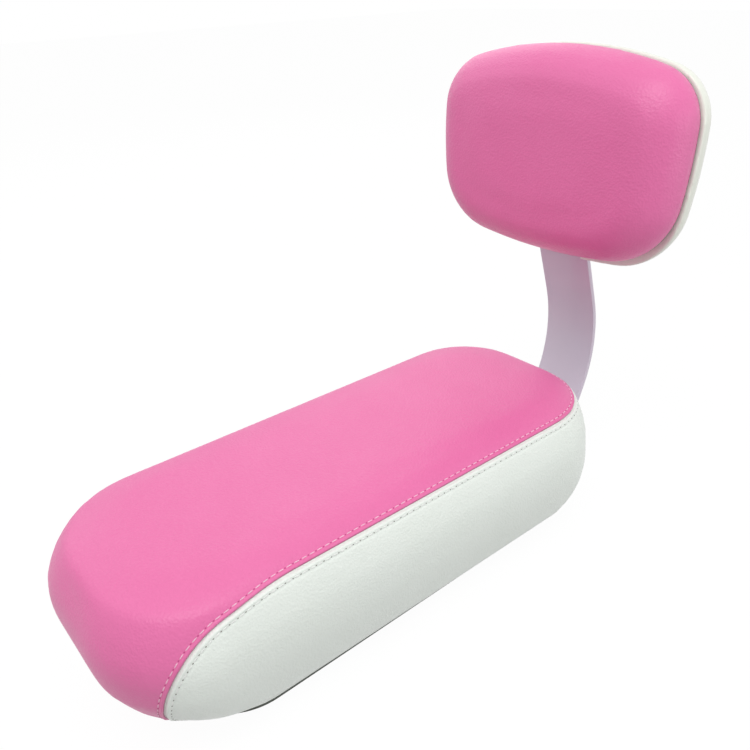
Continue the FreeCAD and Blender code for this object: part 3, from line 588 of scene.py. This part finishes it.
def seam_offset(points, normals):
    """Distance from the seam along the surface, for many points."""
    flat = points[:, 1:]
    best = np.full(len(flat), np.inf)
    arm = np.zeros_like(flat)
    for start, end in zip(seam, seam[1:]):
        start, run = np.array(start), np.array(end - start)
        share = np.clip((flat - start) @ run / max(run @ run, 1e-12), 0, 1)
        away = flat - (start + share[:, None] * run)
        distance = np.hypot(away[:, 0], away[:, 1])
        nearer = distance < best
        best[nearer] = distance[nearer]
        arm[nearer] = away[nearer]
    lean = (normals[:, 1:] * arm).sum(1) / np.maximum(best, 1e-9)
    return best / np.sqrt(np.clip(1 - lean**2, SEAM_LEAN_LIMIT, 1))


def behind_seam(y, z):
    """Whether points lie on the white side of the seam."""
    outline = seam + [Vector((SEAM_REAR, SEAM_FOOT.y))]
    inside = np.zeros(np.shape(y), bool)
    for start, end in zip(outline, outline[1:] + outline[:1]):
        if start.y != end.y:
            crossing = start.x + (z - start.y) / (end.y - start.y) * (end.x - start.x)
            inside ^= ((start.y > z) != (end.y > z)) & (y < crossing)
    return inside


def seam_block():
    """A prism right across the seat that holds everything on the white side of the seam."""
    outline = seam + [Vector((SEAM_REAR, SEAM_FOOT.y))]
    reach = 0.1
    shape = bmesh.new()
    face = shape.faces.new([shape.verts.new((-reach, point.x, point.y)) for point in outline])
    grown = bmesh.ops.extrude_face_region(shape, geom=[face])["geom"]
    bmesh.ops.translate(
        shape, vec=(2 * reach, 0, 0), verts=[item for item in grown if isinstance(item, bmesh.types.BMVert)]
    )
    bmesh.ops.recalc_face_normals(shape, faces=shape.faces[:])
    mesh = bpy.data.meshes.new("seam_block")
    shape.to_mesh(mesh)
    shape.free()
    return new_piece("seam_block", mesh)


# Padding
def inflate(piece, held, most):
    """Swell a closed form with cloth under pressure, by most at most, apart from its held points."""
    before, normals = places(piece), facings(piece)
    group = piece.vertex_groups.new(name="held")
    group.add([int(index) for index in np.flatnonzero(held)], 1.0, "ADD")
    only(piece)
    cloth = piece.modifiers.new("swell", "CLOTH")
    cloth.settings.use_pressure = True
    cloth.settings.uniform_pressure_force = PRESSURE
    cloth.settings.effector_weights.gravity = 0.0
    cloth.settings.vertex_group_mass = group.name
    cloth.settings.tension_stiffness = STRETCH_STIFFNESS
    cloth.settings.compression_stiffness = STRETCH_STIFFNESS
    cloth.settings.bending_stiffness = BEND_STIFFNESS
    cloth.point_cache.frame_start = 1
    cloth.point_cache.frame_end = SIM_FRAMES
    for number in range(1, SIM_FRAMES + 1):
        scene.frame_set(number)
    bpy.ops.object.modifier_apply(modifier=cloth.name)
    piece.vertex_groups.clear()
    scene.frame_set(1)
    swell = ((places(piece) - before) * normals).sum(1)
    move_to(piece, before + normals * np.clip(swell, 0, most)[:, None])


def remeshed(piece, voxel):
    return finish_with(piece, "REMESH", mode="VOXEL", voxel_size=voxel, use_smooth_shade=True)


def pad_out(piece, held, most):
    """Draw a form in a little, inflate it again, then smooth it and divide its faces."""
    move_to(piece, places(piece) - facings(piece) * SHRINK * ~held[:, None])
    inflate(piece, held, most)
    smoothed(piece, FIRST_SMOOTHING)
    finish_with(piece, "SUBSURF", levels=1, render_levels=1)


def fill_out(piece, form):
    """Push the points that sank inside a closed form back out towards its surface."""
    for _ in range(FILL_ROUNDS):
        depth = depth_in(form, places(piece))
        move_to(piece, places(piece) + facings(piece) * np.maximum(depth, 0)[:, None])


def evened(piece, values, rounds):
    """Values at a piece's points, evened out with those of their neighbours."""
    ends = np.empty(len(piece.data.edges) * 2, np.int32)
    piece.data.edges.foreach_get("vertices", ends)
    first, second = ends.reshape(-1, 2).T
    total = len(values)
    neighbours = np.bincount(ends, minlength=total)
    for _ in range(rounds):
        around = np.bincount(first, values[second], total) + np.bincount(second, values[first], total)
        values = (values + around / neighbours) / 2
    return values


def ease(piece, form, free):
    """Smooth the free points, and swell the piece evenly by what that drew it in."""
    piece.vertex_groups.new(name="free").add([int(index) for index in np.flatnonzero(free)], 1.0, "ADD")
    smoothed(piece, SMOOTHING, "free")
    piece.vertex_groups.clear()
    sunk = evened(piece, np.maximum(depth_in(form, places(piece)), 0), 2 * SMOOTHING)
    move_to(piece, places(piece) + facings(piece) * (sunk * free)[:, None])


def halve_faces(piece, chosen):
    """Divide the faces whose points are all chosen."""
    for polygon in piece.data.polygons:
        polygon.select = all(chosen[index] for index in polygon.vertices)
    only(piece)
    bpy.ops.object.mode_set(mode="EDIT")
    bpy.ops.mesh.select_mode(type="FACE")
    bpy.ops.mesh.subdivide(number_cuts=1)
    bpy.ops.object.mode_set(mode="OBJECT")


def thicken(piece):
    """Turn a sheet into leathercloth, inwards from its surface."""
    return finish_with(piece, "SOLIDIFY", thickness=LEATHER, offset=-1.0, use_rim=True)


def mark_painted_shade(piece, nearness):
    """Keep how near each point is to a seam or a tucked edge, as the share of painted shade that the finish
    puts there.
    """
    layer = piece.data.attributes.new("painted_shade", "FLOAT", "POINT")
    layer.data.foreach_set("value", nearness.astype(np.float32))


# Stitches
def edge_loop(panel):
    """The points along a panel's sewn edge, in order, on the cushion's sides and rear."""
    shape = bmesh.new()
    shape.from_mesh(panel.data)
    start = max((e for e in shape.edges if e.is_boundary), key=lambda e: e.verts[0].co.z)
    loop, edge, vert = [], start, start.verts[0]
    while True:
        loop.append(vert.co.copy())
        vert = edge.other_vert(vert)
        edge = next(other for other in vert.link_edges if other.is_boundary and other is not edge)
        if edge is start:
            break
    shape.free()
    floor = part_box("seat_side_panel")[0].z + 4 * LEATHER
    first_low = next(index for index, point in enumerate(loop) if point.z < floor)
    turned = loop[first_low:] + loop[:first_low]
    return [point for point in turned if point.z >= floor]


def evenly_spaced(line, pitch):
    """Points along a line at one pitch, each with the line's direction there."""
    travelled = 0.0
    wanted = pitch
    for start, end in zip(line, line[1:]):
        length = (end - start).length
        while length > 0 and wanted <= travelled + length:
            yield start.lerp(end, (wanted - travelled) / length), (end - start).normalized()
            wanted += pitch
        travelled += length


def softened(line, rounds):
    for _ in range(rounds):
        middle = [(a + 2 * b + c) / 4 for a, b, c in zip(line, line[1:], line[2:])]
        line = [line[0]] + middle + [line[-1]]
    return line


def stitch_row(line, smooth_surface, sewn_surface, pink_side):
    """A frame for each stitch: X along the seam, Z out of the leather."""
    reach = PINK_ROW if pink_side else WHITE_ROW
    steady = [point for point, _ in evenly_spaced(softened(line, LINE_SOFTENING), ROW_STEP)]
    row = []
    for before, point, after in zip(steady, steady[ROW_SPAN:], steady[2 * ROW_SPAN:]):
        normal = smooth_surface.find_nearest(point)[1]
        along = (after - before).normalized()
        across = normal.cross(along).normalized()
        if behind_seam(*(point + across * reach).yz) == pink_side:
            across = -across
        start = point + across * reach + normal * ROW_SEARCH
        hit = sewn_surface.ray_cast(start, -normal, 2 * ROW_SEARCH)[0]
        if hit is not None:
            row.append(hit)
    frames = []
    for point, along in evenly_spaced(softened(row, ROW_SOFTENING), STITCH_PITCH):
        normal = smooth_surface.find_nearest(point)[1]
        across = normal.cross(along).normalized()
        out = along.cross(across)
        frames.append(Matrix((along, across, out)).transposed().to_4x4())
        frames[-1].translation = point
    return frames


def one_stitch():
    """A short bowed thread that rises from one needle hole and goes down the next."""
    bpy.ops.object.select_all(action="DESELECT")
    bpy.ops.mesh.primitive_cylinder_add(
        vertices=6,
        radius=THREAD_RADIUS,
        depth=STITCH_LENGTH,
        end_fill_type="TRIFAN",
        rotation=(0, math.pi / 2, 0),
    )
    stitch = bpy.context.object
    bpy.ops.object.transform_apply(location=True, rotation=True, scale=True)
    half = STITCH_LENGTH / 2
    for share in (-0.6, -0.2, 0.2, 0.6):
        bpy.ops.object.mode_set(mode="EDIT")
        bpy.ops.mesh.select_all(action="SELECT")
        bpy.ops.mesh.bisect(plane_co=(half * share, 0, 0), plane_no=(1, 0, 0))
        bpy.ops.object.mode_set(mode="OBJECT")
    points = places(stitch)
    reach = points[:, 0] / half
    points[:, 1] *= 1.25 - 0.55 * reach**2
    points[:, 2] *= 1.0 - 0.4 * reach**2
    points[:, 2] += THREAD_RADIUS * (0.55 - 1.5 * reach**4)
    move_to(stitch, points)
    return stitch


# A small disc lifted just above the leather, whose dark colour is painted shade standing in for a needle
# hole
def one_needle_hole():
    bpy.ops.object.select_all(action="DESELECT")
    bpy.ops.mesh.primitive_circle_add(vertices=8, radius=NEEDLE_HOLE, fill_type="TRIFAN")
    hole = bpy.context.object
    bpy.ops.object.mode_set(mode="EDIT")
    bpy.ops.mesh.select_all(action="SELECT")
    bpy.ops.mesh.extrude_region_move(TRANSFORM_OT_translate={"value": (0, 0, -NEEDLE_HOLE)})
    bpy.ops.mesh.select_all(action="SELECT")
    bpy.ops.mesh.normals_make_consistent(inside=False)
    bpy.ops.object.mode_set(mode="OBJECT")
    points = places(hole)
    points[:, 0] *= HOLE_STRETCH
    points[:, 2] += HOLE_LIFT
    move_to(hole, points)
    return hole


def repeated(name, model, frames):
    """One piece made of a copy of a small model at each frame."""
    points = places(model)
    faces = [tuple(polygon.vertices) for polygon in model.data.polygons]
    all_points, all_faces = [], []
    for number, matrix in enumerate(frames):
        base = number * len(points)
        all_points += [matrix @ Vector(point) for point in points]
        all_faces += [tuple(base + index for index in face) for face in faces]
    mesh = bpy.data.meshes.new(name)
    mesh.from_pydata(all_points, [], all_faces)
    mesh.update()
    return smooth_shaded(new_piece(name, mesh))


def hole_frames(frames):
    """A place for a needle hole in each gap between two stitches."""
    return [matrix @ Matrix.Translation((STITCH_PITCH / 2, 0, 0)) for matrix in frames]


# Seat
def seat_cushion():
    """The seat's padded form: the CAD cover's outline, drawn in a little, swollen again and crowned."""
    form = hull_of("seat_form", "seat_top_panel", "seat_side_panel")
    cushion = remeshed(copy_of("seat_cushion", form), SEAT_VOXEL)
    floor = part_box("seat_side_panel")[0].z
    held = places(cushion)[:, 2] < floor + 4 * SHRINK
    upward = np.maximum(facings(cushion)[:, 2], 0) ** 2
    pad_out(cushion, held, SIDE_SWELL + (SEAT_TOP_SWELL - SIDE_SWELL) * upward)
    fill_out(cushion, form)
    ease(cushion, form, places(cushion)[:, 2] > floor + SEAT_VOXEL)
    discard(form)
    points, normals = places(cushion), facings(cushion)
    on_top = ~behind_seam(points[:, 1], points[:, 2]) * np.maximum(normals[:, 2], 0)
    crown = CROWN * (1 - np.exp(-seam_offset(points, normals) / CROWN_RISE)) * on_top
    points += normals * crown[:, None]
    points[:, 2] = np.maximum(points[:, 2], floor)
    move_to(cushion, points)
    return cushion


def near_seam(piece, reach):
    """Which of a piece's points lie within reach of the seam, above the hem."""
    points = places(piece)
    shown_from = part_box("seat_side_panel")[0].z + 2 * LEATHER
    return (seam_offset(points, facings(piece)) < reach) & (points[:, 2] > shown_from)


def refine_near_seam(cushion, reach):
    """Halve the faces that lie within reach of the seam, on the cushion's smooth surface."""
    finer = copy_of("fine_form", cushion)
    finish_with(finer, "SUBSURF", levels=2, render_levels=2)
    surface = surface_of(finer)
    discard(finer)
    halve_faces(cushion, near_seam(cushion, reach))
    points = places(cushion)
    for index in np.flatnonzero(near_seam(cushion, reach)):
        points[index] = surface.find_nearest(Vector(points[index]))[0]
    move_to(cushion, points)


def sew_crease(cushion):
    """Draw the surface in along the seam, with a low welt and a dip along each row of stitches."""
    points, normals = places(cushion), facings(cushion)
    offset = seam_offset(points, normals)
    row = np.where(behind_seam(points[:, 1], points[:, 2]), WHITE_ROW, PINK_ROW)
    groove = CREASE_DEPTH * np.exp(-((offset / CREASE_WIDTH) ** 2))
    welt = WELT_HEIGHT * np.exp(-(((offset - 0.5 * row) / (0.4 * row)) ** 2))
    dip = 0.5 * WELT_HEIGHT * np.exp(-(((offset - row) / (0.25 * row)) ** 2))
    pucker = np.zeros(len(points))
    for index in np.flatnonzero(offset < 4 * WHITE_ROW):
        pucker[index] = noise.noise(Vector(points[index]) / (1.6 * STITCH_PITCH))
    pucker *= 0.2 * WELT_HEIGHT * np.exp(-(((offset - 1.4 * row) / row) ** 2))
    move_to(cushion, points + normals * (welt - groove - dip + pucker)[:, None])


def seat_pad(cushion):
    """The foam under the cover, flat where it lies on the board."""
    pad = copy_of("seat_pad", cushion)
    low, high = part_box("seat_board")
    points, normals = places(pad), facings(pad)
    groove = 2 * CREASE_DEPTH * np.exp(-((seam_offset(points, normals) / WHITE_ROW) ** 2))
    points -= normals * (LEATHER + FOAM_GAP + groove)[:, None]
    over_board = (np.abs(points[:, 0]) < high.x + BOARD_ROOM) & (points[:, 2] < high.z + FOAM_GAP)
    over_board &= (points[:, 1] > low.y - BOARD_ROOM) & (points[:, 1] < high.y + BOARD_ROOM)
    points[over_board, 2] = high.z + FOAM_GAP
    move_to(pad, points)
    return smooth_shaded(pad)


def seat_openings():
    """What the cover leaves open: the middle of the board's underside, and the strap's way out."""
    low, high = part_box("seat_board")
    opening = cutting_box(
        "hem_opening",
        (low.x + SEAT_HEM, low.y + SEAT_HEM, 0),
        (high.x - SEAT_HEM, high.y - SEAT_HEM, low.z + 2 * LEATHER),
    )
    strap_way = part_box("back_bracket")[1].x + LEATHER
    notch = cutting_box(
        "strap_notch",
        (-strap_way, high.y - SEAT_NOTCH, 0),
        (strap_way, high.y + SEAT_NOTCH, low.z + FOAM_GAP),
    )
    return opening, notch


def seat_panels(cushion):
    """The pink panel and the white one, cut from the sewn cushion, and the line where they meet."""
    block = seam_block()
    top = trim(copy_of("seat_top_cover", cushion), block)
    side = trim(copy_of("seat_side_cover", cushion), block, keep_inside=True)
    line = edge_loop(top)
    opening, notch = seat_openings()
    for panel in (top, side):
        thicken(trim(trim(panel, opening), notch))
        offset = seam_offset(places(panel), facings(panel))
        # Painted shade along the seam
        mark_painted_shade(panel, np.exp(-((offset / CREASE_SHADE) ** 2)))
        smooth_shaded(panel, COVER_ANGLE)
    for tool in (opening, notch, block):
        discard(tool)
    return top, side, line


def make_stitches(line, smooth_surface, sewn_surface):
    """A row of stitches on each side of the seam, with dark discs of painted shade for its needle holes."""
    stitch, hole = one_stitch(), one_needle_hole()
    for name, pink_side, thread_finish, hole_shade_finish in (
        ("pink", True, pink_thread_finish, pink_hole_shade_finish),
        ("white", False, white_thread_finish, white_hole_shade_finish),
    ):
        frames = stitch_row(line, smooth_surface, sewn_surface, pink_side)
        dress(repeated(f"{name}_panel_stitches", stitch, frames), thread_finish)
        # The needle holes are dark discs whose colour is painted shade
        dress(repeated(f"{name}_panel_needle_hole_shades", hole, hole_frames(frames)), hole_shade_finish)
    discard(stitch)
    discard(hole)


def make_seat():
    cushion = seat_cushion()
    smooth_surface = surface_of(cushion)
    pad = seat_pad(cushion)
    for reach in FINE_REACHES:
        refine_near_seam(cushion, reach)
    sew_crease(cushion)
    sewn_surface = surface_of(cushion)
    top, side, line = seat_panels(cushion)
    discard(cushion)
    dress(top, pink_finish)
    dress(side, white_finish)
    dress(pad, foam_finish)
    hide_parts("seat_top_panel")
    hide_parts("seat_side_panel")
    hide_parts("seat_foam")
    make_stitches(line, smooth_surface, sewn_surface)


# Back rest
def in_back_frame(points):
    return points @ BACK_TURN.T + BACK_SHIFT


def from_back_frame(points):
    return (points - BACK_SHIFT) @ np.linalg.inv(BACK_TURN).T


def back_pillow():
    """The back rest's padded form, which falls off towards its corners."""
    form = hull_of("back_form", "back_cover")
    pillow = remeshed(copy_of("back_pillow", form), BACK_VOXEL)
    held = in_back_frame(places(pillow))[:, 2] < 4 * SHRINK
    forward = np.maximum((facings(pillow) @ BACK_TURN.T)[:, 2], 0) ** 2
    pad_out(pillow, held, SIDE_SWELL + (BACK_FRONT_SWELL - SIDE_SWELL) * forward)
    halve_faces(pillow, in_back_frame(places(pillow))[:, 2] < BACK_RIM)
    fill_out(pillow, form)
    ease(pillow, form, in_back_frame(places(pillow))[:, 2] > BACK_RIM)
    discard(form)
    local = in_back_frame(places(pillow))
    low, high = local.min(0), local.max(0)
    share = (2 * local - low - high) / (high - low)
    corner = np.maximum(share[:, 0] ** 2 + share[:, 1] ** 2 - BACK_FLAT, 0)
    local[:, 2] -= BACK_CORNER_DROP * corner**2 * (local[:, 2] / high[2]) ** 2
    local[:, 2] = np.maximum(local[:, 2], 0)
    move_to(pillow, from_back_frame(local))
    return pillow


def make_back_rest():
    pillow = back_pillow()
    cover = copy_of("back_cushion_cover", pillow)
    pad = copy_of("back_pad", pillow)
    opening = hull_of("hem_opening", "back_board")
    board = in_back_frame(places(opening))
    move_to(opening, from_back_frame(board * BACK_HEM_SHARE - BACK_HEM_SHIFT))
    strap_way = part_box("back_bracket")[1].x + LEATHER
    notch = cutting_box(
        "strap_notch", (-strap_way, *BACK_NOTCH_LOW), (strap_way, *BACK_NOTCH_HIGH), BACK_FRAME
    )
    thicken(trim(trim(cover, opening), notch))
    # Painted shade along the cover's tucked rear edge
    mark_painted_shade(cover, np.exp(-((in_back_frame(places(cover))[:, 2] / REAR_EDGE_SHADE) ** 2)))
    for tool in (pillow, opening, notch):
        discard(tool)

    points = in_back_frame(places(pad) - facings(pad) * (LEATHER + FOAM_GAP))
    low, high = board.min(0) - BOARD_ROOM, board.max(0) + BOARD_ROOM
    over_board = (np.abs(points[:, 0]) < high[0]) & (points[:, 2] < high[2])
    over_board &= (points[:, 1] > low[1]) & (points[:, 1] < high[1])
    points[over_board, 2] = board[:, 2].max() + FOAM_GAP
    move_to(pad, from_back_frame(points))

    dress(smooth_shaded(cover, COVER_ANGLE), pink_finish)
    dress(smooth_shaded(pad), foam_finish)
    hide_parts("back_cover")
    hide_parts("back_foam")


# Shell, bracket and tray
def make_rear_shell():
    """The moulded white shell, with the softened edges of a moulding."""
    shell = remeshed(node_copy("rear_shell", "back_shell"), SHELL_VOXEL)
    smoothed(shell, SHELL_SMOOTHING)
    dress(smooth_shaded(shell, COVER_ANGLE), shell_finish)
    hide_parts("back_shell")


def with_broken_edges(name, node, smooth_angle):
    """A copy of a CAD node with its sharp edges broken."""
    piece = node_copy(name, node)
    bpy.ops.object.mode_set(mode="EDIT")
    bpy.ops.mesh.select_all(action="SELECT")
    bpy.ops.mesh.dissolve_limited(angle_limit=FLAT_ANGLE)
    bpy.ops.object.mode_set(mode="OBJECT")
    finish_with(
        piece, "BEVEL", width=BROKEN_EDGE, segments=2, limit_method="ANGLE", angle_limit=BLUNT_ANGLE
    )
    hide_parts(node)
    return smooth_shaded(piece, smooth_angle)


def tuck_sides(tray):
    """Tuck the tray's lower side edges in, more and more towards the rear."""
    points = places(tray)
    side = np.abs(points[:, 0])
    rear = np.clip((points[:, 1] - TRAY_TUCK_FROM) / (points[:, 1].max() - TRAY_TUCK_FROM), 0, 1)
    rim = np.clip((side - TRAY_RIM) / (side.max() - TRAY_RIM), 0, 1)
    low = np.clip(1 - points[:, 2] / TRAY_TUCK_HEIGHT, 0, 1)
    points[:, 0] -= np.sign(points[:, 0]) * TRAY_TUCK * rear * rim * low
    move_to(tray, points)


def make_bracket_and_tray():
    strap = with_broken_edges("bracket_strap", "back_bracket", STRAP_ANGLE)
    dress(strap, strap_finish)
    tray = with_broken_edges("base_tray", "base_plate", TRAY_ANGLE)
    tuck_sides(tray)
    dress(tray, plate_finish)


def dress_hidden_parts():
    """Finishes of the CAD nodes that stay as they are."""
    finishes = {"plywood": wood_finish, "zinc_steel": steel_finish}
    for entry in frame["record"]["subparts"]:
        if entry["material_slot"] in finishes:
            node = frame["nodes"][entry["node"]]
            node.data.materials.clear()
            node.data.materials.append(finishes[entry["material_slot"]])


# Stage
def make_world():
    """Even light from all round, which looks white itself."""
    scene.world = bpy.data.worlds.new("studio")
    shading = Shading(scene.world)
    ambient = shading.nodes["Background"]
    shading.feed(ambient, {"Color": WHITE, "Strength": AMBIENT})
    white = shading.node("ShaderNodeBackground", {}, {"Color": WHITE})
    shading.surface("World Output", shading.seen_by_eye(), Wire(shading, ambient.outputs[0]), white)


def make_floor():
    """A pale floor that keeps a soft shadow."""
    bpy.ops.object.select_all(action="DESELECT")
    bpy.ops.mesh.primitive_plane_add(size=FLOOR_SIZE, location=(0, 0, -FLOOR_DROP))
    floor = bpy.context.object
    floor.name = "floor"
    material = bpy.data.materials.new("pale_floor")
    shading = Shading(material)
    paint = shading.nodes["Principled BSDF"]
    grey = (FLOOR_GREY, FLOOR_GREY, FLOOR_GREY, 1.0)
    shading.feed(paint, {"Base Color": grey, "Roughness": 0.9, "Specular IOR Level": 0.0})
    white = shading.node("ShaderNodeEmission", {}, {"Strength": FLOOR_WHITE})
    share = shading.seen_by_eye() * FLOOR_GLOW
    shading.surface("Material Output", share, Wire(shading, paint.outputs[0]), white)
    floor.data.materials.append(material)


def make_lamp(name, place, target, size, power):
    lamp = bpy.data.lights.new(name, "AREA")
    lamp.size = size
    lamp.energy = power
    item = bpy.data.objects.new(name, lamp)
    item.location = place
    item.rotation_euler = (Vector(target) - Vector(place)).to_track_quat("-Z", "Y").to_euler()
    scene.collection.objects.link(item)


def make_camera():
    back = Vector(
        (
            math.sin(CAMERA_AZIMUTH) * math.cos(CAMERA_ELEVATION),
            -math.cos(CAMERA_AZIMUTH) * math.cos(CAMERA_ELEVATION),
            math.sin(CAMERA_ELEVATION),
        )
    )
    right = (-back).cross(Vector((0, 0, 1))).normalized()
    up = right.cross(-back)
    turn = Matrix.Rotation(CAMERA_ROLL, 3, back)
    axes = Matrix((turn @ right, turn @ up, back)).transposed()
    data = bpy.data.cameras.new("camera")
    data.lens = CAMERA_LENS
    data.sensor_width = SENSOR_WIDTH
    data.clip_start = 0.01
    camera = bpy.data.objects.new("camera", data)
    camera.matrix_world = Matrix.Translation(CAMERA_TARGET + back * CAMERA_DISTANCE) @ axes.to_4x4()
    scene.collection.objects.link(camera)
    scene.camera = camera


scene.view_settings.view_transform = "Standard"
make_camera()
make_world()
make_floor()
for lamp in LAMPS:
    make_lamp(*lamp)
make_seat()
make_back_rest()
make_rear_shell()
make_bracket_and_tray()
dress_hidden_parts()
